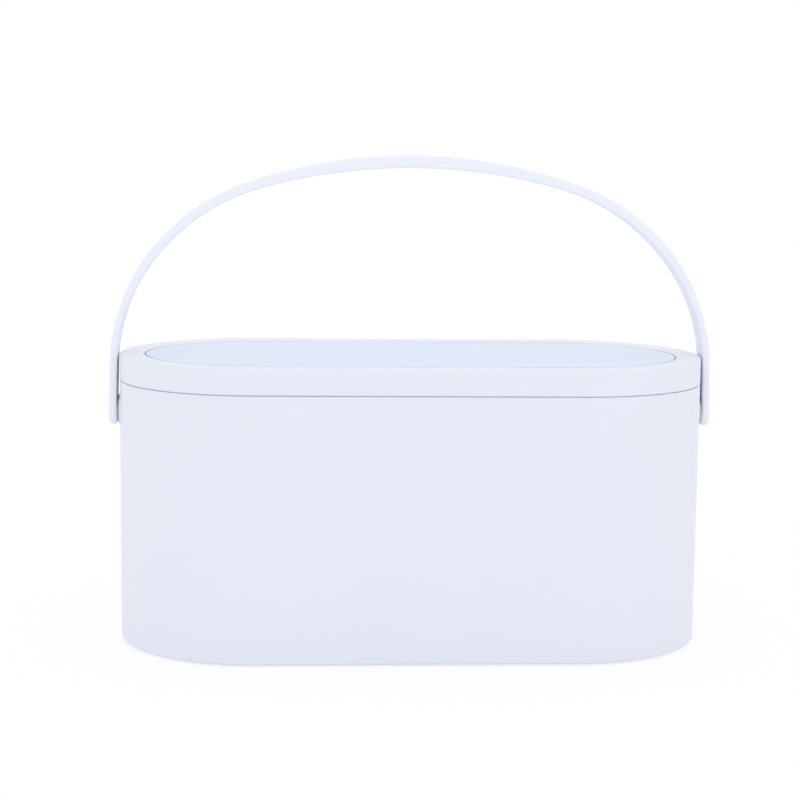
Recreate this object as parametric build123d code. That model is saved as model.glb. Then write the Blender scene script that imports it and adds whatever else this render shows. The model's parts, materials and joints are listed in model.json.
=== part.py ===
from build123d import *
import os
from math import cos, radians, sin, tan

# Makeup storage box: a case with a stadium plan, a lift-off lid that carries a lit mirror on its
# underside, and an arched carrying handle on two side pivots.
# Millimetres. The origin is on the surface that the box stands on, below the middle of the case.
# +X runs along the length to the right, +Y to the back and +Z up.

# Overall form of case and lid
BOX_LENGTH = 286.0
BOX_DEPTH = 131.0
CASE_HEIGHT = 127.4          # underside of the case to its rim
LID_HEIGHT = 13.1            # rim to the top of the lid
WALL = 2.4
FLOOR = 2.8
BASE_EDGE_RADIUS = 1.0
RIM_EDGE_RADIUS = 0.3
INNER_EDGE_RADIUS = 2.5
OVERRUN = 1.0                # how far a cut runs past the face that it opens

# Rubber feet
FOOT_DIAMETER = 14.0
FOOT_THICKNESS = 1.6
FOOT_PROUD = 0.8
FOOT_FIT = 0.15
FOOT_END_INSET = 50.0
FOOT_SIDE_INSET = 24.0

# Loose dividers and the guide ribs that hold them
DIVIDER_THICKNESS = 1.8
DIVIDER_DROP = 28.6          # rim of the case to the top of a divider
DIVIDER_SPACING = 96.0
DIVIDER_FIT = 0.3
NOTCH_WIDTH = 56.0
NOTCH_DEPTH = 13.0
RIB_THICKNESS = 1.4
RIB_REACH = 2.6

# Lid frame
LID_EDGE_RADIUS = 1.3
LID_SKIN = 3.2
SHADOW_GAP = 0.5
SHADOW_DEPTH = 1.1
LIP_DEPTH = 3.0
LIP_THICKNESS = 1.4
LIP_FIT = 0.3
LIP_START = 10.0             # the lip runs round the back of the lid from here
FLANGE_THICKNESS = 1.8
BOSS_DIAMETER = 6.0

# Top panel let into the lid, flush with the inner edge of a margin that falls towards it
RIM_LAND = 0.7               # flat top of the lid's edge, outside the falling margin
PANEL_MARGIN = 12.0
PANEL_FALL = 0.5
PANEL_THICKNESS = 1.6
PANEL_SEAM = 0.6
PANEL_LEDGE = 4.0

# Mirror, its carrier and the light ring round it
CARRIER_LIFT = 0.6
CARRIER_FIT = 0.3
CARRIER_SKIN = 1.4
MIRROR_LIFT = 0.8
MIRROR_THICKNESS = 2.0
MIRROR_SEAM = 0.3
RING_INSET = 11.4
RING_WIDTH = 8.0
RING_SEAM = 0.2
CHANNEL_MARGIN = 1.2
CHANNEL_DEPTH = 2.0
CHANNEL_SKIN = 0.8
WELL_MARGIN = 2.0            # carrier wall left between the light channel and the well above the mirror

# Light strip
STRIP_THICKNESS = 0.6
STRIP_FIT = 0.3
LED_LENGTH = 3.5
LED_WIDTH = 2.8
LED_HEIGHT = 0.8
LED_COUNT = 60

# Electronics in the lid
BATTERY_LENGTH = 60.0
BATTERY_WIDTH = 40.0
BATTERY_HEIGHT = 4.8
BATTERY_CORNER = 1.6
BATTERY_PLACE_SHARE = 0.54   # middle of the cell, from the middle of the box to the end of its well
BOARD_LENGTH = 36.0
BOARD_WIDTH = 22.0
BOARD_THICKNESS = 0.8
BOARD_WALL_GAP = 0.6
CHIP_LENGTH = 7.0
CHIP_HEIGHT = 1.2
SOCKET_WIDTH = 8.9
SOCKET_HEIGHT = 3.2
SOCKET_DEPTH = 7.4
SOCKET_WALL = 0.3
SOCKET_FIT = 0.25
SOCKET_SETBACK = 0.4
TOUCH_DIAMETER = 12.0
TOUCH_THICKNESS = 0.4
TOUCH_FIT = 1.0
TOUCH_INSET = 30.0
LEAD_DIAMETER = 1.0
LEAD_PITCH = 5.0
LEAD_BEND = 6.0
TOUCH_LEAD_BEND = 1.6

# Magnets that hold the front of the lid down
MAGNET_DIAMETER = 6.0
MAGNET_HEIGHT = 3.0
MAGNET_FIT = 0.1
MAGNET_SPACING = 120.0
MAGNET_SKIN = 0.8
POST_WALL = 1.6
POST_HEIGHT = 9.0
POST_DROP = 0.3

# Screws that hold the mirror carrier in the lid frame
SCREW_INSET = 7.9
SCREW_SPACING = 76.0
SCREW_END_ANGLE = 40.0
SCREW_DIAMETER = 2.2
SCREW_HEAD_DIAMETER = 4.2
SCREW_HEAD_HEIGHT = 1.5
SCREW_BITE = 3.4
SCREW_HOLE_FIT = 0.3
SCREW_HEAD_FIT = 0.4
SCREW_HEAD_SINK = 0.4

# Handle pivots
PIVOT_DROP = 15.0            # rim of the case to the pivot axis
PIN_DIAMETER = 8.0
PIN_CLEARANCE = 0.05
BUSH_WALL = 1.5
BUSH_FLANGE = 2.0
BUSH_FLANGE_THICKNESS = 1.2
HUB_WALL = 2.6
HUB_LENGTH = 3.0
PAD_PROUD = 0.3
RUN_GAP = 0.15
RING_LAND = 2.4
LAND_PROUD = 0.2             # flat land on the leg that bears on the friction ring
WASHER_DIAMETER = 14.0
WASHER_THICKNESS = 1.0
PIVOT_SCREW_DIAMETER = 3.0
PIVOT_SCREW_HEAD_DIAMETER = 6.0
PIVOT_SCREW_HEAD_HEIGHT = 2.2
PIVOT_SCREW_BITE = 7.0
SCREW_SLOT_WIDTH = 0.8
SCREW_SLOT_DEPTH = 0.6

# Handle arch: each side is three tangent arcs from the crown down to a straight, leaning leg
STRAP_WIDTH = 15.0
LEG_GAP = 1.5                # case end to the inner face of the leg, at the pivot axis
LEG_THICKNESS = 3.7
LEG_STRAIGHT = 22.8          # pivot axis to the springing of the arch
LEG_LEAN_ANGLE = 1.4         # by which a leg leans inwards above its pivot
GRIP_CLEARANCE = 90.8        # top of the lid to the underside of the crown
CROWN_THICKNESS = 6.1
STRAP_EDGE_RADIUS = 1.2
OUTER_CROWN_ANGLE = 19.9
OUTER_SHOULDER_ANGLE = 47.5
OUTER_SHOULDER_SHARE = 0.99  # shoulder radius as a share of the rise from springing to crown
INNER_CROWN_ANGLE = 15.6
INNER_SHOULDER_ANGLE = 55.7
INNER_SHOULDER_SHARE = 1.049

# Levels and places that several pieces share
BASE_Z = FOOT_PROUD
FLOOR_Z = BASE_Z + FLOOR
RIM_Z = BASE_Z + CASE_HEIGHT
LID_TOP_Z = RIM_Z + LID_HEIGHT
DIVIDER_TOP_Z = RIM_Z - DIVIDER_DROP
PIVOT_Z = RIM_Z - PIVOT_DROP
SKIN_Z = LID_TOP_Z - LID_SKIN
PANEL_TOP_Z = LID_TOP_Z - PANEL_FALL
PANEL_SEAT_Z = PANEL_TOP_Z - PANEL_THICKNESS
CARRIER_Z = RIM_Z + CARRIER_LIFT
MIRROR_Z = RIM_Z + MIRROR_LIFT
MIRROR_BACK_Z = MIRROR_Z + MIRROR_THICKNESS
WELL_Z = MIRROR_BACK_Z + CARRIER_SKIN
CHANNEL_Z = MIRROR_BACK_Z + CHANNEL_DEPTH
CARRIER_TOP_Z = CHANNEL_Z + CHANNEL_SKIN
HALF_LENGTH = BOX_LENGTH / 2
HALF_DEPTH = BOX_DEPTH / 2
CAP_X = HALF_LENGTH - HALF_DEPTH     # centre of the round end in plan
LIP_OUTSIDE = WALL + LIP_FIT
LIP_INSIDE = LIP_OUTSIDE + LIP_THICKNESS
CARRIER_INSET = LIP_INSIDE + CARRIER_FIT
CHANNEL_OUTSIDE = RING_INSET + CHANNEL_MARGIN
CHANNEL_INSIDE = RING_INSET + RING_WIDTH - CHANNEL_MARGIN
WELL_INSET = CHANNEL_INSIDE + WELL_MARGIN
MAGNET_Y = -(HALF_DEPTH - SCREW_INSET)
BOARD_BACK_Y = HALF_DEPTH - WALL - BOARD_WALL_GAP
BOARD_FRONT_Y = BOARD_BACK_Y - BOARD_WIDTH
BOARD_TOP_Z = CARRIER_TOP_Z + BOARD_THICKNESS
SOCKET_Z = BOARD_TOP_Z + SOCKET_HEIGHT / 2
LEAD_Z = CARRIER_TOP_Z + BOARD_THICKNESS / 2
TOUCH_Y = -(HALF_DEPTH - TOUCH_INSET)
CELL_X = -BATTERY_PLACE_SHARE * (HALF_LENGTH - WELL_INSET) - BATTERY_LENGTH / 2
LEG_INSIDE_X = HALF_LENGTH + LEG_GAP
LEG_OUTSIDE_X = LEG_INSIDE_X + LEG_THICKNESS
LAND_X = LEG_INSIDE_X - LAND_PROUD
PAD_X = HALF_LENGTH + PAD_PROUD
HUB_X = HALF_LENGTH - WALL - HUB_LENGTH
BUSH_END_X = HUB_X - BUSH_FLANGE_THICKNESS
PIN_END_X = BUSH_END_X - RUN_GAP
WASHER_X = PIN_END_X - WASHER_THICKNESS
BUSH_BORE = PIN_DIAMETER + 2 * PIN_CLEARANCE
BUSH_DIAMETER = BUSH_BORE + 2 * BUSH_WALL
HUB_DIAMETER = BUSH_DIAMETER + 2 * HUB_WALL
LAND_DIAMETER = BUSH_BORE + 2 * RING_LAND
SPRING_Z = PIVOT_Z + LEG_STRAIGHT
GRIP_Z = LID_TOP_Z + GRIP_CLEARANCE
CROWN_Z = GRIP_Z + CROWN_THICKNESS
SIDES = {"left": -1, "right": 1}
ENDS = {"front": -1, "rear": 1}
BASE_ALIGN = (Align.CENTER, Align.CENTER, Align.MIN)


# Shared shapes

def stadium(inset):
    """Plan outline of case and lid, drawn in by inset."""
    return SlotOverall(BOX_LENGTH - 2 * inset, BOX_DEPTH - 2 * inset)


def slab(sketch, bottom, top):
    """Upright prism of a plan sketch between two levels."""
    return Pos(0, 0, bottom) * extrude(sketch, amount=top - bottom)


def band(outside, inside, bottom, top):
    """Closed ring between two insets of the plan outline."""
    return slab(stadium(outside) - stadium(inside), bottom, top)


def post(x, y, bottom, top, diameter):
    """Upright cylinder between two levels."""
    return Pos(x, y, bottom) * Cylinder(diameter / 2, top - bottom, align=BASE_ALIGN)


def pivot_cylinder(side, inner, outer, diameter):
    """Cylinder on the pivot axis, between two distances from the middle of the box."""
    turned = Rot(0, 90, 0) * Cylinder(diameter / 2, outer - inner)
    return Pos(side * (inner + outer) / 2, 0, PIVOT_Z) * turned


def block(x_range, y_range, z_range):
    """Box between low and high values on each axis."""
    sizes = [high - low for low, high in (x_range, y_range, z_range)]
    middle = [(high + low) / 2 for low, high in (x_range, y_range, z_range)]
    return Pos(*middle) * Box(*sizes)


def lead(points, bends):
    """Round wire along straight runs joined by arcs."""
    path = FilletPolyline(*points, radius=bends)
    section = Plane(origin=path @ 0, z_dir=path % 0) * Circle(LEAD_DIAMETER / 2)
    return sweep(section, path=path)


# Case

def foot_places():
    """Plan position of each foot by name."""
    places = {}
    for end, back in ENDS.items():
        for side, hand in SIDES.items():
            x = hand * (HALF_LENGTH - FOOT_END_INSET)
            y = back * (HALF_DEPTH - FOOT_SIDE_INSET)
            places[f"foot_{end}_{side}"] = (x, y)
    return places


def divider_ribs(x, back):
    """Pair of upright ribs on the front or back wall that guide one divider."""
    wall_y = HALF_DEPTH - WALL
    slot = DIVIDER_THICKNESS / 2 + DIVIDER_FIT
    ribs = Part()
    for hand in SIDES.values():
        near = x + hand * slot
        far = near + hand * RIB_THICKNESS
        reach = sorted((back * (wall_y - RIB_REACH), back * (wall_y + WALL / 2)))
        ribs += block(sorted((near, far)), reach, (FLOOR_Z - FLOOR / 2, DIVIDER_TOP_Z))
    return ribs


def magnet_post(x):
    """Post inside the front wall that holds one case magnet, with a web back to the wall."""
    top = RIM_Z - POST_DROP
    diameter = MAGNET_DIAMETER + 2 * (MAGNET_FIT + POST_WALL)
    shape = post(x, MAGNET_Y, top - POST_HEIGHT, top, diameter)
    shape += block((x - diameter / 2, x + diameter / 2), (-HALF_DEPTH + WALL / 2, MAGNET_Y),
                   (top - POST_HEIGHT, top))
    taper = Pos(x, MAGNET_Y, top - POST_HEIGHT) * Cone(0, diameter / 2, diameter / 2,
                                                     align=(Align.CENTER, Align.CENTER, Align.MAX))
    return shape + taper


def case_shell():
    """Tub with feet recesses, divider ribs, magnet posts and the two pivot hubs."""
    shell = slab(stadium(0), BASE_Z, RIM_Z)
    shell = fillet(shell.edges().group_by(Axis.Z)[0], BASE_EDGE_RADIUS)
    shell = fillet(shell.edges().group_by(Axis.Z)[-1], RIM_EDGE_RADIUS)
    hollow = slab(stadium(WALL), FLOOR_Z, RIM_Z + OVERRUN)
    shell -= fillet(hollow.edges().group_by(Axis.Z)[0], INNER_EDGE_RADIUS)
    for hand in SIDES.values():
        shell += pivot_cylinder(hand, HUB_X, HALF_LENGTH - WALL / 2, HUB_DIAMETER)
        shell += pivot_cylinder(hand, HALF_LENGTH - WALL, PAD_X, HUB_DIAMETER)
        shell += magnet_post(hand * MAGNET_SPACING / 2)
        for back in ENDS.values():
            shell += divider_ribs(hand * DIVIDER_SPACING / 2, back)
    for hand in SIDES.values():
        shell -= pivot_cylinder(hand, HUB_X - OVERRUN, PAD_X + OVERRUN, BUSH_DIAMETER)
        shell -= post(hand * MAGNET_SPACING / 2, MAGNET_Y, RIM_Z - POST_DROP - MAGNET_HEIGHT,
                      RIM_Z + OVERRUN, MAGNET_DIAMETER + 2 * MAGNET_FIT)
    for x, y in foot_places().values():
        shell -= post(x, y, BASE_Z - OVERRUN, FOOT_THICKNESS, FOOT_DIAMETER + 2 * FOOT_FIT)
    return shell


def foot(x, y):
    """Round rubber pad glued into its recess."""
    pad = post(x, y, 0, FOOT_THICKNESS, FOOT_DIAMETER)
    return fillet(pad.edges().group_by(Axis.Z)[0], FOOT_PROUD / 2)


def divider(x):
    """Loose partition with round lower corners and a finger notch in its top edge."""
    width = BOX_DEPTH - 2 * (WALL + DIVIDER_FIT)
    panel = block((x - DIVIDER_THICKNESS / 2, x + DIVIDER_THICKNESS / 2), (-width / 2, width / 2),
                  (FLOOR_Z, DIVIDER_TOP_Z))
    lower_corners = panel.edges().filter_by(Axis.X).group_by(Axis.Z)[0]
    panel = fillet(lower_corners, INNER_EDGE_RADIUS + DIVIDER_FIT)
    notch_outline = Plane.YZ * SlotOverall(NOTCH_WIDTH, 2 * NOTCH_DEPTH)
    notch = extrude(notch_outline, amount=DIVIDER_THICKNESS, both=True)
    return panel - Pos(x, 0, DIVIDER_TOP_Z) * notch


def case_magnet(x):
    """Disc magnet in its post, flush with the top of the post."""
    top = RIM_Z - POST_DROP
    return post(x, MAGNET_Y, top - MAGNET_HEIGHT, top, MAGNET_DIAMETER)


def pivot_bush(side):
    """Plain bearing pressed into the hub from inside the case."""
    bush = pivot_cylinder(side, HUB_X, PAD_X, BUSH_DIAMETER)
    bush += pivot_cylinder(side, BUSH_END_X, HUB_X, BUSH_DIAMETER + 2 * BUSH_FLANGE)
    return bush - pivot_cylinder(side, BUSH_END_X - OVERRUN, PAD_X + OVERRUN, BUSH_BORE)


def friction_ring(side):
    """Soft ring on the outer pad that the handle's foot turns against."""
    ring = pivot_cylinder(side, PAD_X, LAND_X - RUN_GAP, LAND_DIAMETER)
    return ring - pivot_cylinder(side, PAD_X - OVERRUN, LAND_X + OVERRUN, BUSH_BORE)


# Lid

def screw_places():
    """Plan positions of the carrier screws: four along the straight sides and four round the ends."""
    radius = HALF_DEPTH - SCREW_INSET
    angle = radians(SCREW_END_ANGLE)
    for hand in SIDES.values():
        for back in ENDS.values():
            yield hand * SCREW_SPACING / 2, back * radius
            yield hand * (CAP_X + radius * cos(angle)), back * radius * sin(angle)


def lid_lip():
    """Locating lip round the back of the lid, just inside the rim of the case."""
    lip = band(LIP_OUTSIDE, LIP_INSIDE, RIM_Z - LIP_DEPTH, CARRIER_Z + FLANGE_THICKNESS / 2)
    rear_half = block((-HALF_LENGTH, HALF_LENGTH), (LIP_START, HALF_DEPTH), (RIM_Z - LIP_DEPTH, SKIN_Z))
    return lip & rear_half


def lid_dish():
    """Shallow hollow over the lid, whose sloping side makes the margin fall towards the panel."""
    bottom = Pos(0, 0, PANEL_TOP_Z) * stadium(PANEL_MARGIN)
    top = Pos(0, 0, LID_TOP_Z) * stadium(LID_EDGE_RADIUS + RIM_LAND)
    return loft([bottom, top], ruled=True)


def lid_frame():
    """Rim of the lid: outer wall, top margin with the panel's ledge, inner flange, lip and bosses."""
    frame = slab(stadium(0), RIM_Z, LID_TOP_Z)
    frame = fillet(frame.edges().group_by(Axis.Z)[-1], LID_EDGE_RADIUS)
    frame -= slab(stadium(WALL), RIM_Z - OVERRUN, SKIN_Z)
    frame -= lid_dish()
    frame -= slab(stadium(PANEL_MARGIN), PANEL_SEAT_Z, LID_TOP_Z + OVERRUN)
    frame -= slab(stadium(PANEL_MARGIN + PANEL_LEDGE), SKIN_Z - OVERRUN, LID_TOP_Z)
    frame -= band(-OVERRUN, SHADOW_DEPTH, RIM_Z - OVERRUN, RIM_Z + SHADOW_GAP)
    frame += band(WALL / 2, LIP_INSIDE, CARRIER_Z, CARRIER_Z + FLANGE_THICKNESS)
    frame += lid_lip()
    for x, y in screw_places():
        frame += post(x, y, CARRIER_TOP_Z, SKIN_Z + LID_SKIN / 4, BOSS_DIAMETER)
        frame -= post(x, y, CARRIER_TOP_Z - OVERRUN, CARRIER_TOP_Z + SCREW_BITE, SCREW_DIAMETER)
    port = SlotOverall(SOCKET_WIDTH + 2 * SOCKET_FIT, SOCKET_HEIGHT + 2 * SOCKET_FIT)
    port_plane = Plane(origin=(0, HALF_DEPTH + OVERRUN, SOCKET_Z), x_dir=(1, 0, 0), z_dir=(0, -1, 0))
    return frame - extrude(port_plane * port, amount=WALL + 2 * OVERRUN)


def lid_top_panel():
    """Flat panel let flush into the top of the lid, with a thin seam all round."""
    return slab(stadium(PANEL_MARGIN + PANEL_SEAM), PANEL_SEAT_Z, PANEL_TOP_Z)


def mirror_carrier():
    """Moulding that closes the lid from below and holds the mirror, the light ring and the magnets."""
    carrier = slab(stadium(CARRIER_INSET), CARRIER_Z, CARRIER_TOP_Z)
    carrier -= slab(stadium(RING_INSET), CARRIER_Z - OVERRUN, MIRROR_BACK_Z)
    carrier -= band(CHANNEL_OUTSIDE, CHANNEL_INSIDE, CARRIER_Z, CHANNEL_Z)
    carrier -= slab(stadium(WELL_INSET), WELL_Z, CARRIER_TOP_Z + OVERRUN)
    carrier -= post(0, TOUCH_Y, MIRROR_Z, CARRIER_TOP_Z, TOUCH_DIAMETER + TOUCH_FIT)
    for x, y in screw_places():
        head_top = CARRIER_Z + SCREW_HEAD_SINK + SCREW_HEAD_HEIGHT
        carrier -= post(x, y, CARRIER_Z - OVERRUN, CARRIER_TOP_Z + OVERRUN, SCREW_DIAMETER + SCREW_HOLE_FIT)
        carrier -= post(x, y, CARRIER_Z - OVERRUN, head_top, SCREW_HEAD_DIAMETER + SCREW_HEAD_FIT)
    for hand in SIDES.values():
        carrier -= post(hand * MAGNET_SPACING / 2, MAGNET_Y, CARRIER_Z + MAGNET_SKIN,
                        CARRIER_TOP_Z + OVERRUN, MAGNET_DIAMETER + 2 * MAGNET_FIT)
    for x in led_lead_places():
        carrier -= post(x, led_lead_y(), CHANNEL_Z - OVERRUN, CARRIER_TOP_Z + OVERRUN, 2 * LEAD_DIAMETER)
    return carrier


def mirror_glass():
    """Silvered glass bonded to the carrier, inside the light ring."""
    return slab(stadium(RING_INSET + RING_WIDTH + MIRROR_SEAM), MIRROR_Z, MIRROR_BACK_Z)


def light_ring():
    """Diffuser round the mirror, over the light strip."""
    return band(RING_INSET + RING_SEAM, RING_INSET + RING_WIDTH, MIRROR_Z, MIRROR_BACK_Z)


def led_strip():
    """Flat circuit that lines the top of the light channel."""
    bottom = CHANNEL_Z - STRIP_THICKNESS
    return band(CHANNEL_OUTSIDE + STRIP_FIT, CHANNEL_INSIDE - STRIP_FIT, bottom, CHANNEL_Z)


def led_chips():
    """Evenly spaced light-emitting chips below the strip."""
    path = stadium((CHANNEL_OUTSIDE + CHANNEL_INSIDE) / 2).face().outer_wire()
    top = CHANNEL_Z - STRIP_THICKNESS
    chip = Box(LED_LENGTH, LED_WIDTH, LED_HEIGHT, align=(Align.CENTER, Align.CENTER, Align.MAX))
    chips = []
    for index in range(LED_COUNT):
        place = path.position_at(index / LED_COUNT)
        along = path.tangent_at(index / LED_COUNT)
        plane = Plane(origin=(place.X, place.Y, top), x_dir=(along.X, along.Y, 0), z_dir=(0, 0, 1))
        chips.append(plane * chip)
    return Compound(children=chips)


def battery_cell():
    """Flat rechargeable cell lying in the carrier's well."""
    cell = block((CELL_X, CELL_X + BATTERY_LENGTH), (-BATTERY_WIDTH / 2, BATTERY_WIDTH / 2),
                 (WELL_Z, WELL_Z + BATTERY_HEIGHT))
    return fillet(cell.edges().filter_by(Axis.Z), BATTERY_CORNER)


def control_board():
    """Charging and dimming circuit behind the port, with its controller chip."""
    board = block((-BOARD_LENGTH / 2, BOARD_LENGTH / 2), (BOARD_FRONT_Y, BOARD_BACK_Y),
                  (CARRIER_TOP_Z, BOARD_TOP_Z))
    chip_x = SOCKET_WIDTH
    chip_y = BOARD_FRONT_Y + CHIP_LENGTH
    board += block((chip_x - CHIP_LENGTH / 2, chip_x + CHIP_LENGTH / 2),
                   (chip_y - CHIP_LENGTH / 2, chip_y + CHIP_LENGTH / 2),
                   (BOARD_TOP_Z, BOARD_TOP_Z + CHIP_HEIGHT))
    return board


def charging_socket():
    """Metal shell of the charging port, with its contact tongue, on the back edge of the board."""
    back = HALF_DEPTH - SOCKET_SETBACK
    plane = Plane(origin=(0, back, SOCKET_Z), x_dir=(1, 0, 0), z_dir=(0, -1, 0))
    inner_width = SOCKET_WIDTH - 2 * SOCKET_WALL
    inner_height = SOCKET_HEIGHT - 2 * SOCKET_WALL
    shell = extrude(plane * SlotOverall(SOCKET_WIDTH, SOCKET_HEIGHT), amount=SOCKET_DEPTH)
    shell -= extrude(plane * SlotOverall(inner_width, inner_height), amount=SOCKET_DEPTH - SOCKET_WALL)
    tongue = Rectangle(inner_width - inner_height, inner_height / 3)
    tongue_plane = plane.offset(SOCKET_DEPTH / 4)
    return shell + extrude(tongue_plane * tongue, amount=SOCKET_DEPTH - SOCKET_DEPTH / 4)


def touch_electrode():
    """Copper disc on the back of the glass that senses a fingertip."""
    return post(0, TOUCH_Y, MIRROR_BACK_Z, MIRROR_BACK_Z + TOUCH_THICKNESS, TOUCH_DIAMETER)


def battery_leads():
    """Two wires from the end of the cell to the front edge of the board."""
    start_x = CELL_X + BATTERY_LENGTH
    wires = []
    for hand in SIDES.values():
        start_y = hand * LEAD_PITCH / 2
        end_x = -BOARD_LENGTH / 4 - hand * LEAD_PITCH / 2
        points = [(start_x, start_y, LEAD_Z), (end_x, start_y, LEAD_Z), (end_x, BOARD_FRONT_Y, LEAD_Z)]
        wires.append(lead(points, LEAD_BEND))
    return Compound(children=wires)


def touch_lead():
    """Wire from the electrode up and back to the board."""
    start = (0, TOUCH_Y, MIRROR_BACK_Z + TOUCH_THICKNESS)
    corner = (0, TOUCH_Y, LEAD_Z)
    return lead([start, corner, (0, BOARD_FRONT_Y, LEAD_Z)], TOUCH_LEAD_BEND)


def led_lead_places():
    """Places along the board of the two short leads to the light strip."""
    return [hand * BOARD_LENGTH / 3 for hand in SIDES.values()]


def led_lead_y():
    """Middle of the light channel at the back of the lid."""
    return HALF_DEPTH - (CHANNEL_OUTSIDE + CHANNEL_INSIDE) / 2


def led_leads():
    """Two short leads from the board down to the light strip."""
    pins = [post(x, led_lead_y(), CHANNEL_Z, CARRIER_TOP_Z, LEAD_DIAMETER) for x in led_lead_places()]
    return Compound(children=pins)


def lid_magnet(x):
    """Disc magnet in the carrier, over the one in the case."""
    bottom = CARRIER_Z + MAGNET_SKIN
    return post(x, MAGNET_Y, bottom, bottom + MAGNET_HEIGHT, MAGNET_DIAMETER)


def carrier_screws():
    """Pan-head screws from below, through the carrier into the frame's bosses."""
    head_bottom = CARRIER_Z + SCREW_HEAD_SINK
    head_top = head_bottom + SCREW_HEAD_HEIGHT
    screws = []
    for x, y in screw_places():
        head = post(x, y, head_bottom, head_top, SCREW_HEAD_DIAMETER)
        head = fillet(head.edges().group_by(Axis.Z)[0], SCREW_HEAD_HEIGHT / 3)
        slot = Box(SCREW_HEAD_DIAMETER, SCREW_SLOT_WIDTH, SCREW_SLOT_DEPTH, align=BASE_ALIGN)
        cross = slot + Rot(0, 0, 90) * slot
        shank = post(x, y, head_top, CARRIER_TOP_Z + SCREW_BITE, SCREW_DIAMETER)
        screws.append(head + shank - Pos(x, y, head_bottom) * cross)
    return Compound(children=screws)


# Handle

def leg_x(pivot_x, z):
    """Place of a leaning leg face at a level, from its place at the pivot axis."""
    return pivot_x - (z - PIVOT_Z) * tan(radians(LEG_LEAN_ANGLE))


def arch_side(pivot_x, crown_z, crown_angle, shoulder_angle, shoulder_share):
    """Crown, shoulder and leg arcs on the right side, solved to meet the leg's top and the crown."""
    rise = crown_z - SPRING_Z
    shoulder = shoulder_share * rise
    sin_a, cos_a = sin(radians(crown_angle)), cos(radians(crown_angle))
    sin_b, cos_b = sin(radians(shoulder_angle)), cos(radians(shoulder_angle))
    leg_across = cos(radians(LEG_LEAN_ANGLE)) - sin_b
    leg_down = cos_b - sin(radians(LEG_LEAN_ANGLE))
    across = leg_x(pivot_x, SPRING_Z) - shoulder * (sin_b - sin_a)
    down = rise - shoulder * (cos_a - cos_b)
    determinant = sin_a * leg_down - leg_across * (1 - cos_a)
    crown = (across * leg_down - leg_across * down) / determinant
    leg = (sin_a * down - (1 - cos_a) * across) / determinant
    crown_centre = Vector(0, crown_z - crown)
    shoulder_centre = crown_centre + Vector(sin_a, cos_a) * (crown - shoulder)
    leg_centre = shoulder_centre + Vector(sin_b, cos_b) * (shoulder - leg)
    arcs = [
        CenterArc(crown_centre, crown, 90 - crown_angle, crown_angle),
        CenterArc(shoulder_centre, shoulder, 90 - shoulder_angle, shoulder_angle - crown_angle),
        CenterArc(leg_centre, leg, LEG_LEAN_ANGLE, 90 - shoulder_angle - LEG_LEAN_ANGLE),
    ]
    return arcs


def handle_profile():
    """Right half of the arch seen from the front, from the crown to the end of the foot."""
    foot_z = PIVOT_Z - STRAP_WIDTH / 2
    outer = arch_side(LEG_OUTSIDE_X, CROWN_Z, OUTER_CROWN_ANGLE, OUTER_SHOULDER_ANGLE, OUTER_SHOULDER_SHARE)
    inner = arch_side(LEG_INSIDE_X, GRIP_Z, INNER_CROWN_ANGLE, INNER_SHOULDER_ANGLE, INNER_SHOULDER_SHARE)
    corners = [
        (leg_x(LEG_OUTSIDE_X, SPRING_Z), SPRING_Z),
        (leg_x(LEG_OUTSIDE_X, foot_z), foot_z),
        (leg_x(LEG_INSIDE_X, foot_z), foot_z),
        (leg_x(LEG_INSIDE_X, SPRING_Z), SPRING_Z),
    ]
    leg = [Line(start, end) for start, end in zip(corners, corners[1:])]
    middle = [Line((0, GRIP_Z), (0, CROWN_Z))]
    return make_face(Curve() + outer + inner + leg + middle)


def handle():
    """Moulded strap, thickest at the crown; each round foot carries a flat land and a pivot pin."""
    half = extrude(Plane.XZ * handle_profile(), amount=STRAP_WIDTH / 2, both=True)
    strap = half + mirror(half, about=Plane.YZ)
    side_view = Pos(0, PIVOT_Z) * Circle(STRAP_WIDTH / 2)
    above = CROWN_Z - PIVOT_Z + OVERRUN
    side_view += Pos(0, PIVOT_Z + above / 2) * Rectangle(STRAP_WIDTH, above)
    strap &= extrude(Plane.YZ * side_view, amount=LEG_OUTSIDE_X + OVERRUN, both=True)
    side_faces = strap.faces().filter_by(Axis.Y)
    strap = fillet(side_faces.edges(), STRAP_EDGE_RADIUS)
    pin_root = LEG_INSIDE_X + LEG_THICKNESS / 2
    for hand in SIDES.values():
        strap += pivot_cylinder(hand, LAND_X, pin_root, LAND_DIAMETER)
        strap += pivot_cylinder(hand, PIN_END_X, pin_root, PIN_DIAMETER)
        strap -= pivot_cylinder(hand, PIN_END_X - OVERRUN, PIN_END_X + PIVOT_SCREW_BITE, PIVOT_SCREW_DIAMETER)
    return strap


def pivot_washer(side):
    """Washer on the end of the pin that keeps it in the bush."""
    washer = pivot_cylinder(side, WASHER_X, PIN_END_X, WASHER_DIAMETER)
    return washer - pivot_cylinder(side, WASHER_X - OVERRUN, PIN_END_X + OVERRUN, PIVOT_SCREW_DIAMETER)


def pivot_screw(side):
    """Screw through the washer into the pin."""
    head_x = WASHER_X - PIVOT_SCREW_HEAD_HEIGHT
    screw = pivot_cylinder(side, head_x, WASHER_X, PIVOT_SCREW_HEAD_DIAMETER)
    rim = screw.edges().filter_by(GeomType.CIRCLE).sort_by(Axis.X, reverse=side < 0)[0]
    screw = fillet(rim, PIVOT_SCREW_HEAD_HEIGHT / 3)
    screw += pivot_cylinder(side, WASHER_X, PIN_END_X + PIVOT_SCREW_BITE, PIVOT_SCREW_DIAMETER)
    slot = Box(2 * SCREW_SLOT_DEPTH, PIVOT_SCREW_HEAD_DIAMETER, SCREW_SLOT_WIDTH)
    cross = slot + Rot(90, 0, 0) * slot
    return screw - Pos(side * head_x, 0, PIVOT_Z) * cross


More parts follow.
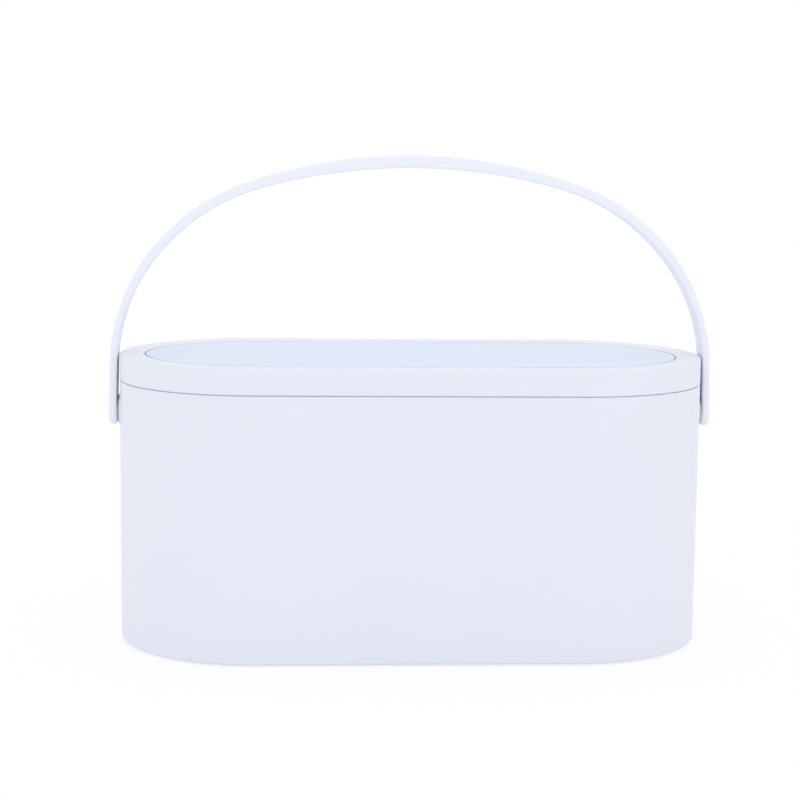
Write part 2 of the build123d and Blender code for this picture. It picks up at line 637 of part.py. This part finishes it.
def pieces():
    """Every node of the box by name."""
    nodes = {
        "case_shell": case_shell(),
        "lid_frame": lid_frame(),
        "lid_top_panel": lid_top_panel(),
        "mirror_carrier": mirror_carrier(),
        "mirror_glass": mirror_glass(),
        "light_ring": light_ring(),
        "led_strip": led_strip(),
        "led_chips": led_chips(),
        "led_leads": led_leads(),
        "battery_cell": battery_cell(),
        "battery_leads": battery_leads(),
        "control_board": control_board(),
        "charging_socket": charging_socket(),
        "touch_electrode": touch_electrode(),
        "touch_lead": touch_lead(),
        "carrier_screws": carrier_screws(),
        "handle": handle(),
    }
    for name, (x, y) in foot_places().items():
        nodes[name] = foot(x, y)
    for side, hand in SIDES.items():
        nodes[f"divider_{side}"] = divider(hand * DIVIDER_SPACING / 2)
        nodes[f"case_magnet_{side}"] = case_magnet(hand * MAGNET_SPACING / 2)
        nodes[f"lid_magnet_{side}"] = lid_magnet(hand * MAGNET_SPACING / 2)
        nodes[f"pivot_bush_{side}"] = pivot_bush(hand)
        nodes[f"friction_ring_{side}"] = friction_ring(hand)
        nodes[f"pivot_washer_{side}"] = pivot_washer(hand)
        nodes[f"pivot_screw_{side}"] = pivot_screw(hand)
    return nodes


def main():
    os.makedirs("parts", exist_ok=True)
    for name, solid in pieces().items():
        export_step(solid, f"parts/{name}.step")


main()
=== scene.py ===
import json
from math import copysign, cos, pi, radians, sin

import bpy
from mathutils import Matrix, Vector


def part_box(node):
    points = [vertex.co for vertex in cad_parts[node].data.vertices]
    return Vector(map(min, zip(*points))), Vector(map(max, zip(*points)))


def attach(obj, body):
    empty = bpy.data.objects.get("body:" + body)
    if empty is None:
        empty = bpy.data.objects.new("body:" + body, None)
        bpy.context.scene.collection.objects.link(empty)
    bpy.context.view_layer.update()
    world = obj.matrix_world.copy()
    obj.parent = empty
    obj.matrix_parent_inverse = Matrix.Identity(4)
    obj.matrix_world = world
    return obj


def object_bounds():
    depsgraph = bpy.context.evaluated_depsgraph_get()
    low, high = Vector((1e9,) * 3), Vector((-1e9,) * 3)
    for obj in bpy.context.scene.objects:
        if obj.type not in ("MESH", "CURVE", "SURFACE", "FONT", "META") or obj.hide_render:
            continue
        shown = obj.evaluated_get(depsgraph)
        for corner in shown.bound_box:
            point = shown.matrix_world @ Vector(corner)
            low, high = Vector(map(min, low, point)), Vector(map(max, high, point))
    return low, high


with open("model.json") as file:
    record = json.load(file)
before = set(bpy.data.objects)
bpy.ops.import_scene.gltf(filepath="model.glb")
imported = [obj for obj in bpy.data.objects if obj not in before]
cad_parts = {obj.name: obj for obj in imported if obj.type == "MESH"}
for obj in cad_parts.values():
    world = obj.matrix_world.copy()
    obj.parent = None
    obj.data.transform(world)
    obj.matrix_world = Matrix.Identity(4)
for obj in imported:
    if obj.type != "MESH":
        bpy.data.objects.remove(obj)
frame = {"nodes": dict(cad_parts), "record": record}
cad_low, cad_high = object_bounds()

# Looks of the makeup box: finishes of every piece, a grey band of painted shade in the seam round the
# lid's panel, the touch mark on the mirror, a white studio and the camera.
# Metres, in the frame of the part: +X to the right, +Y to the back, +Z up.

MM = 0.001

# Camera, as fitted to the outline of the box in an image of 800 by 800 pixels; turns are in degrees
IMAGE_WIDTH = 800
SENSOR_WIDTH = 36.0
FOCAL_PIXELS = 2021.9
AIM_HEIGHT = 80.8 * MM
CAMERA_DISTANCE = 1007.2 * MM
CAMERA_AZIMUTH = -3.885
CAMERA_ELEVATION = 9.923
CAMERA_PAN = 0.315
CAMERA_TILT = 2.084
CAMERA_ROLL = -0.735
CLIP_START = 10 * MM
UPRIGHT = Vector((0, 0, 1))

# Studio
PLAIN_WHITE = (1.0, 1.0, 1.0, 1.0)
FLOOR_WHITE = (0.99, 0.99, 0.99, 1.0)
FLOOR_SIZE = 8.0
FLOOR_DROP = 0.02 * MM               # the floor lies just under the feet
FLOOR_GLOW_SHARE = 0.80              # plain white in the floor's look; the rest takes the shadow
WORLD_STRENGTH = 0.93
SEEN_STRENGTH = 1.0
SKY_STRENGTH = 0.22
SKY_SPREAD = 60.0                    # degrees
KEY_PLACE = Vector((-0.8, -1.2, 0.7))    # from the middle of the box, as is the other lamp's place
KEY_SIZE = 0.9
KEY_POWER = 0.7
FILL_PLACE = Vector((0.9, -1.0, 0.4))
FILL_SIZE = 0.9
FILL_POWER = 0.5

# Rings: the touch mark on the mirror and a grey band of painted shade in the seam round the lid's panel
RING_STEPS = 128
MARK_RADIUS = 4.6 * MM
MARK_LINE = 0.5 * MM
MARK_THICKNESS = 0.04 * MM
# Size of the grey band of painted shade in the panel's seam
SHADE_BAND_WIDTH = 0.6 * MM
SHADE_BAND_DEPTH = 0.8 * MM
SHADE_BAND_CROWN = 0.04 * MM

# Patterns of the finishes: scales are in clouds per metre, shades are factors on the colour
PATTERN_RANGE = (0.3, 0.7)           # where a cloudy pattern mostly stays
PATTERN_DETAIL = 3.0
FULL_RANGE = (0.0, 1.0)
CLOUD_SCALE = 24.0
CLOUD_SHADES = (0.988, 1.010)
GLOSS_SCALE = 140.0
GRAIN_DETAIL = 2.0
GRAIN_STRENGTH = 0.35
SILVER_SCALE = 18.0
GLASS_FACE = (-0.6, -0.9)            # the silver shows where the glass faces down
WIPE_SCALE = 60.0
WIPE_STRETCH = (0.25, 1.0, 1.0)
LINE_SCALE = 900.0
LINE_STRETCH = (1.0, 0.08, 1.0)
LINE_SHADES = (0.92, 1.04)
LINE_DEPTH = 0.01 * MM
BLOOM_SCALE = 420.0
BLOOM_SHADES = (0.95, 1.05)
PORE_SCALE = 2600.0
PORE_DEPTH = 0.03 * MM
CREASE_SCALE = 160.0
CREASE_DEPTH = 0.15 * MM
TRACK_SCALE = 520.0
TRACK_STRETCH = (1.0, 0.15, 1.0)
TRACK_RANGE = (-0.6, 1.2)
COAT_SCALE = 300.0

# Tongue of the charging port, as a share of the port's width and height
TONGUE_SHARE = 0.68


# Colours and shader nodes

def srgb(red, green, blue):
    """Scene colour of a display colour given from 0 to 255."""
    def linear(value):
        share = value / 255
        return share / 12.92 if share <= 0.04045 else ((share + 0.055) / 1.055) ** 2.4
    return linear(red), linear(green), linear(blue), 1.0


def shade(colour, factor):
    """The same colour, lighter or darker."""
    return tuple(min(1.0, channel * factor) for channel in colour[:3]) + (1.0,)


def feed(tree, socket, value):
    """Sets an input to a value, or links it to the output of another node."""
    if isinstance(value, bpy.types.NodeSocket):
        tree.links.new(value, socket)
    else:
        socket.default_value = value


def combined(tree, operation, *values):
    """Result of a calculation with numbers or outputs of other nodes."""
    node = tree.nodes.new("ShaderNodeMath")
    node.operation = operation
    for socket, value in zip(node.inputs, values):
        feed(tree, socket, value)
    return node.outputs["Value"]


def remapped(tree, value, start, end):
    """An output mapped from one range of values to another."""
    node = tree.nodes.new("ShaderNodeMapRange")
    for name, limit in zip(("From Min", "From Max", "To Min", "To Max"), start + end):
        node.inputs[name].default_value = limit
    feed(tree, node.inputs["Value"], value)
    return node.outputs["Result"]


class Finish:
    """A surface shader whose colour, gloss and relief vary by patterns fixed to the piece."""

    def __init__(self, name, **values):
        self.material = bpy.data.materials.new(f"{name}_finish")
        self.material.use_nodes = True
        self.tree = self.material.node_tree
        self.shader = self.tree.nodes["Principled BSDF"]
        coordinates = self.tree.nodes.new("ShaderNodeTexCoord")
        self.place = coordinates.outputs["Object"]
        self.normal = coordinates.outputs["Normal"]
        for socket, value in values.items():
            self.set(socket.replace("_", " "), value)

    def set(self, socket, value):
        """Gives an input of the surface shader a value or a pattern."""
        feed(self.tree, self.shader.inputs[socket], value)

    def stretched(self, scale):
        """Places on the piece, scaled differently along each axis."""
        mapping = self.tree.nodes.new("ShaderNodeMapping")
        mapping.inputs["Scale"].default_value = scale
        feed(self.tree, mapping.inputs["Vector"], self.place)
        return mapping.outputs["Vector"]

    def noise(self, scale, detail=PATTERN_DETAIL, stretch=None):
        """Cloudy pattern from 0 to 1, drawn out where a stretch is given."""
        texture = self.tree.nodes.new("ShaderNodeTexNoise")
        texture.inputs["Scale"].default_value = scale
        texture.inputs["Detail"].default_value = detail
        place = self.stretched(stretch) if stretch else self.place
        feed(self.tree, texture.inputs["Vector"], place)
        return texture.outputs["Fac"]

    def mix(self, factor, first, second):
        """Blend of two colours or colour outputs by a pattern."""
        blend = self.tree.nodes.new("ShaderNodeMix")
        blend.data_type = "RGBA"
        sockets = [socket for socket in blend.inputs if socket.type == "RGBA"]
        for socket, colour in zip(sockets, (first, second)):
            feed(self.tree, socket, colour)
        feed(self.tree, blend.inputs[0], factor)
        return next(output for output in blend.outputs if output.type == "RGBA")

    def shades(self, pattern, colour, factors):
        """Colour that goes between a darker and a lighter shade by a pattern."""
        dark, light = factors
        return self.mix(pattern, shade(colour, dark), shade(colour, light))

    def along(self, vector, axis):
        """One coordinate of a vector output."""
        split = self.tree.nodes.new("ShaderNodeSeparateXYZ")
        feed(self.tree, split.inputs["Vector"], vector)
        return split.outputs[axis]

    def within(self, centre, reach):
        """1 where the piece lies within a reach of a centre along X and Z, 0 elsewhere."""
        across = combined(self.tree, "COMPARE", self.along(self.place, "X"), centre.x, reach.x)
        upward = combined(self.tree, "COMPARE", self.along(self.place, "Z"), centre.z, reach.z)
        return combined(self.tree, "MULTIPLY", across, upward)

    def gloss(self, pattern, rough):
        """Roughness that follows a pattern over a range."""
        self.set("Roughness", remapped(self.tree, pattern, PATTERN_RANGE, rough))

    def relief(self, pattern, height, strength):
        """Fine unevenness of the surface that follows a pattern."""
        bump = self.tree.nodes.new("ShaderNodeBump")
        bump.inputs["Strength"].default_value = strength
        bump.inputs["Distance"].default_value = height
        feed(self.tree, bump.inputs["Height"], pattern)
        self.set("Normal", bump.outputs["Normal"])


# Finishes, one for each material slot of the part

def moulded(name, colour, rough, grain, depth, **values):
    """Satin moulded plastic: faint cloudy tone, uneven gloss and a fine grain."""
    finish = Finish(name, **values)
    finish.set("Base Color", finish.shades(finish.noise(CLOUD_SCALE), colour, CLOUD_SHADES))
    finish.gloss(finish.noise(GLOSS_SCALE), rough)
    finish.relief(finish.noise(grain, GRAIN_DETAIL), depth, GRAIN_STRENGTH)
    return finish.material


def mirror():
    """Silvered glass: clear reflection, faint wipe marks and green ground edges."""
    finish = Finish("mirror", IOR=1.5)
    silver = finish.mix(finish.noise(SILVER_SCALE), srgb(244, 246, 247), srgb(248, 249, 250))
    face = remapped(finish.tree, finish.along(finish.normal, "Z"), GLASS_FACE, FULL_RANGE)
    finish.set("Base Color", finish.mix(face, srgb(150, 178, 168), silver))
    finish.set("Metallic", face)
    finish.gloss(finish.noise(WIPE_SCALE, detail=4.0, stretch=WIPE_STRETCH), rough=(0.012, 0.035))
    return finish.material


def brushed_metal(name, colour, rough):
    """Plated metal with fine drawn lines."""
    finish = Finish(name, Metallic=1.0)
    lines = finish.noise(LINE_SCALE, stretch=LINE_STRETCH)
    finish.set("Base Color", finish.shades(lines, colour, LINE_SHADES))
    finish.gloss(lines, rough)
    finish.relief(lines, LINE_DEPTH, strength=0.3)
    return finish.material


def charging_port():
    """Plated shell of the charging port, with a dark plastic tongue in the middle."""
    low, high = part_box("charging_socket")
    finish = Finish("port")
    tongue = finish.within((low + high) / 2, (high - low) / 2 * TONGUE_SHARE)
    lines = finish.noise(LINE_SCALE)
    plating = finish.mix(lines, srgb(196, 197, 199), srgb(218, 219, 221))
    finish.set("Base Color", finish.mix(tongue, plating, srgb(38, 39, 42)))
    finish.set("Metallic", combined(finish.tree, "SUBTRACT", 1.0, tongue))
    finish.gloss(lines, rough=(0.24, 0.4))
    return finish.material


def rubber(name, colour):
    """Soft rubber: dull, with a fine bloom."""
    finish = Finish(name, IOR=1.48)
    bloom = finish.noise(BLOOM_SCALE, detail=4.0)
    finish.set("Base Color", finish.shades(bloom, colour, BLOOM_SHADES))
    finish.gloss(bloom, rough=(0.62, 0.82))
    finish.relief(finish.noise(PORE_SCALE), PORE_DEPTH, strength=0.5)
    return finish.material


def foil():
    """Matt pouch foil with soft creases."""
    finish = Finish("foil", Metallic=1.0)
    crease = finish.noise(CREASE_SCALE, detail=5.0)
    finish.set("Base Color", finish.mix(crease, srgb(196, 199, 204), srgb(220, 222, 226)))
    finish.gloss(crease, rough=(0.34, 0.52))
    finish.relief(crease, CREASE_DEPTH, strength=0.6)
    return finish.material


def circuit_board():
    """Green coated board with copper tracks showing through the coat."""
    finish = Finish("board", Coat_Weight=0.4)
    streaks = finish.noise(TRACK_SCALE, detail=0.0, stretch=TRACK_STRETCH)
    track = remapped(finish.tree, streaks, PATTERN_RANGE, TRACK_RANGE)
    finish.set("Base Color", finish.mix(track, srgb(24, 96, 58), srgb(58, 138, 84)))
    finish.gloss(finish.noise(COAT_SCALE), rough=(0.35, 0.5))
    return finish.material


FINISHES = {
    "shell_white": moulded("shell_white", srgb(229, 233, 245),
                           rough=(0.40, 0.50), grain=900.0, depth=0.002 * MM),
    "panel_white": moulded("panel_white", srgb(223, 232, 249),
                           rough=(0.50, 0.54), grain=700.0, depth=0.0012 * MM, Specular_IOR_Level=0.3),
    "handle_white": moulded("handle_white", srgb(237, 240, 249),
                            rough=(0.42, 0.48), grain=900.0, depth=0.002 * MM),
    "carrier_white": moulded("carrier_white", srgb(232, 235, 243),
                             rough=(0.42, 0.54), grain=1800.0, depth=0.015 * MM),
    "diffuser": moulded("diffuser", srgb(246, 246, 242),
                        rough=(0.46, 0.58), grain=1200.0, depth=0.008 * MM,
                        Subsurface_Weight=0.3, Subsurface_Scale=2.0 * MM),
    "strip": moulded("strip", srgb(240, 240, 234), rough=(0.45, 0.60), grain=900.0, depth=0.01 * MM),
    "led": moulded("led", srgb(250, 224, 120), rough=(0.18, 0.30), grain=1500.0, depth=0.005 * MM),
    "bush_plastic": moulded("bush_plastic", srgb(226, 226, 222),
                            rough=(0.24, 0.34), grain=1500.0, depth=0.006 * MM),
    "mirror": mirror(),
    "cell_foil": foil(),
    "board": circuit_board(),
    "steel": brushed_metal("steel", srgb(214, 215, 217), rough=(0.22, 0.38)),
    "solder": brushed_metal("solder", srgb(206, 207, 208), rough=(0.26, 0.42)),
    "copper": brushed_metal("copper", srgb(214, 158, 122), rough=(0.24, 0.40)),
    "magnet": brushed_metal("magnet", srgb(226, 225, 222), rough=(0.10, 0.20)),
    "foot_rubber": rubber("foot_rubber", srgb(214, 216, 222)),
    "ring_rubber": rubber("ring_rubber", srgb(171, 171, 168)),
    "lead_sleeve": rubber("lead_sleeve", srgb(186, 44, 40)),
}
NODE_FINISHES = {"charging_socket": charging_port()}


def dress_nodes():
    """Gives every piece of the part its own finish or that of its material slot."""
    for part in frame["record"]["subparts"]:
        node = frame["nodes"][part["node"]]
        finish = NODE_FINISHES.get(part["node"], FINISHES[part["material_slot"]])
        if not node.material_slots:
            node.data.materials.append(finish)
        for slot in node.material_slots:
            slot.material = finish


# Rings

def ring(name, centre, half_straight, section, finish):
    """Closed band round a stadium or, with no straight, a circle; its section is in radius and height."""
    points = []
    for step in range(RING_STEPS):
        angle = 2 * pi * (step + 0.5) / RING_STEPS
        middle = centre.x + copysign(half_straight, cos(angle))
        for radius, level in section:
            points.append((middle + radius * cos(angle), centre.y + radius * sin(angle), level))
    faces = []
    count = len(section)
    for step in range(RING_STEPS):
        here = step * count
        there = (step + 1) % RING_STEPS * count
        for corner in range(count):
            following = (corner + 1) % count
            faces.append((here + corner, there + corner, there + following, here + following))
    mesh = bpy.data.meshes.new(name)
    mesh.from_pydata(points, [], faces)
    mesh.materials.append(finish)
    mesh.update()
    band = bpy.data.objects.new(name, mesh)
    bpy.context.scene.collection.objects.link(band)
    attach(band, "lid")


def touch_mark():
    """Thin printed ring on the mirror, over the touch switch."""
    disc_low, disc_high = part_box("touch_electrode")
    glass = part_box("mirror_glass")[0].z
    inside, outside = MARK_RADIUS - MARK_LINE, MARK_RADIUS
    below = glass - MARK_THICKNESS
    section = ((inside, below), (outside, below), (outside, glass), (inside, glass))
    ink = moulded("touch_mark", srgb(150, 152, 158), rough=(0.4, 0.55), grain=3000.0, depth=0.004 * MM)
    ring("touch_mark", (disc_low + disc_high) / 2, 0.0, section, ink)


def painted_seam_shade():
    """Grey band that fills the seam round the lid's panel, with a slightly crowned top: painted shade
    standing in for the dark of the seam.
    """
    low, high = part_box("lid_top_panel")
    inside = (high.y - low.y) / 2
    outside = inside + SHADE_BAND_WIDTH
    half_straight = (high.x - low.x) / 2 - inside
    top, bottom = high.z, high.z - SHADE_BAND_DEPTH
    crown = ((inside + outside) / 2, top + SHADE_BAND_CROWN)
    section = ((inside, bottom), (outside, bottom), (outside, top), crown, (inside, top))
    # Painted shade: a grey rubber band stands in for the shadow inside the panel's seam
    seam_shade_finish = rubber("painted_seam_shade", srgb(122, 127, 140))
    ring("painted_seam_shade", (low + high) / 2, half_straight, section, seam_shade_finish)


# Studio

def white_for_camera(tree):
    """1 for rays from the camera and for mirror-like and clear surfaces, 0 for the light on the object."""
    rays = tree.nodes.new("ShaderNodeLightPath").outputs
    seen = combined(tree, "MAXIMUM", rays["Is Camera Ray"], rays["Is Glossy Ray"])
    return combined(tree, "MAXIMUM", seen, rays["Is Transmission Ray"])


def floor():
    """Wide white floor that fades the shadow of the box into plain white."""
    bpy.ops.mesh.primitive_plane_add(size=FLOOR_SIZE, location=(0, 0, -FLOOR_DROP))
    plane = bpy.context.object
    plane.name = "studio_floor"
    material = bpy.data.materials.new("studio_floor_finish")
    material.use_nodes = True
    tree = material.node_tree
    tree.nodes.remove(tree.nodes["Principled BSDF"])
    paper = tree.nodes.new("ShaderNodeBsdfDiffuse")
    paper.inputs["Color"].default_value = FLOOR_WHITE
    glow = tree.nodes.new("ShaderNodeEmission")
    blend = tree.nodes.new("ShaderNodeMixShader")
    share = combined(tree, "MULTIPLY", white_for_camera(tree), FLOOR_GLOW_SHARE)
    sources = (share, paper.outputs["BSDF"], glow.outputs["Emission"])
    for socket, source in zip(blend.inputs, sources):
        feed(tree, socket, source)
    feed(tree, tree.nodes["Material Output"].inputs["Surface"], blend.outputs["Shader"])
    plane.data.materials.append(material)


def surround():
    """White all round: plain white where it is seen, dimmer where it lights the box."""
    world = bpy.data.worlds.new("studio")
    world.use_nodes = True
    bpy.context.scene.world = world
    tree = world.node_tree
    strength = remapped(tree, white_for_camera(tree), FULL_RANGE, (WORLD_STRENGTH, SEEN_STRENGTH))
    background = tree.nodes["Background"]
    background.inputs["Color"].default_value = PLAIN_WHITE
    feed(tree, background.inputs["Strength"], strength)


def softbox(name, place, target, size, power):
    """Square lamp at a place, turned to a target."""
    lamp = bpy.data.lights.new(name, "AREA")
    lamp.size = size
    lamp.energy = power
    holder = bpy.data.objects.new(name, lamp)
    holder.location = place
    holder.rotation_euler = (target - place).to_track_quat("-Z", "Y").to_euler()
    bpy.context.scene.collection.objects.link(holder)


def skylight():
    """Wide, even light from overhead that whitens the whole floor."""
    lamp = bpy.data.lights.new("skylight", "SUN")
    lamp.energy = SKY_STRENGTH
    lamp.angle = radians(SKY_SPREAD)
    bpy.context.scene.collection.objects.link(bpy.data.objects.new("skylight", lamp))


def lights():
    """Overhead light and two weak soft lamps, front left and front right."""
    skylight()
    middle = (cad_low + cad_high) / 2
    softbox("key_lamp", middle + KEY_PLACE, middle, KEY_SIZE, KEY_POWER)
    softbox("fill_lamp", middle + FILL_PLACE, middle, FILL_SIZE, FILL_POWER)


def camera():
    """Camera at the photograph's place, turned by pan, tilt and roll from the line to its aim."""
    azimuth, elevation = radians(CAMERA_AZIMUTH), radians(CAMERA_ELEVATION)
    back = Vector((sin(azimuth) * cos(elevation), -cos(azimuth) * cos(elevation), sin(elevation)))
    forward = -back
    right = forward.cross(UPRIGHT).normalized()
    up = right.cross(forward)
    pan = Matrix.Rotation(radians(CAMERA_PAN), 3, up)
    forward, right = pan @ forward, pan @ right
    tilt = Matrix.Rotation(radians(CAMERA_TILT), 3, right)
    forward, up = tilt @ forward, tilt @ up
    roll = Matrix.Rotation(radians(CAMERA_ROLL), 3, forward)
    right, up = roll @ right, roll @ up
    data = bpy.data.cameras.new("camera")
    data.sensor_width = SENSOR_WIDTH
    data.lens = FOCAL_PIXELS / IMAGE_WIDTH * SENSOR_WIDTH
    data.clip_start = CLIP_START
    viewer = bpy.data.objects.new("camera", data)
    turn = Matrix((right, up, -forward)).transposed().to_4x4()
    place = UPRIGHT * AIM_HEIGHT + back * CAMERA_DISTANCE
    viewer.matrix_world = Matrix.Translation(place) @ turn
    bpy.context.scene.collection.objects.link(viewer)
    bpy.context.scene.camera = viewer


dress_nodes()
touch_mark()
painted_seam_shade()
floor()
surround()
lights()
camera()
bpy.context.scene.view_settings.view_transform = "Standard"
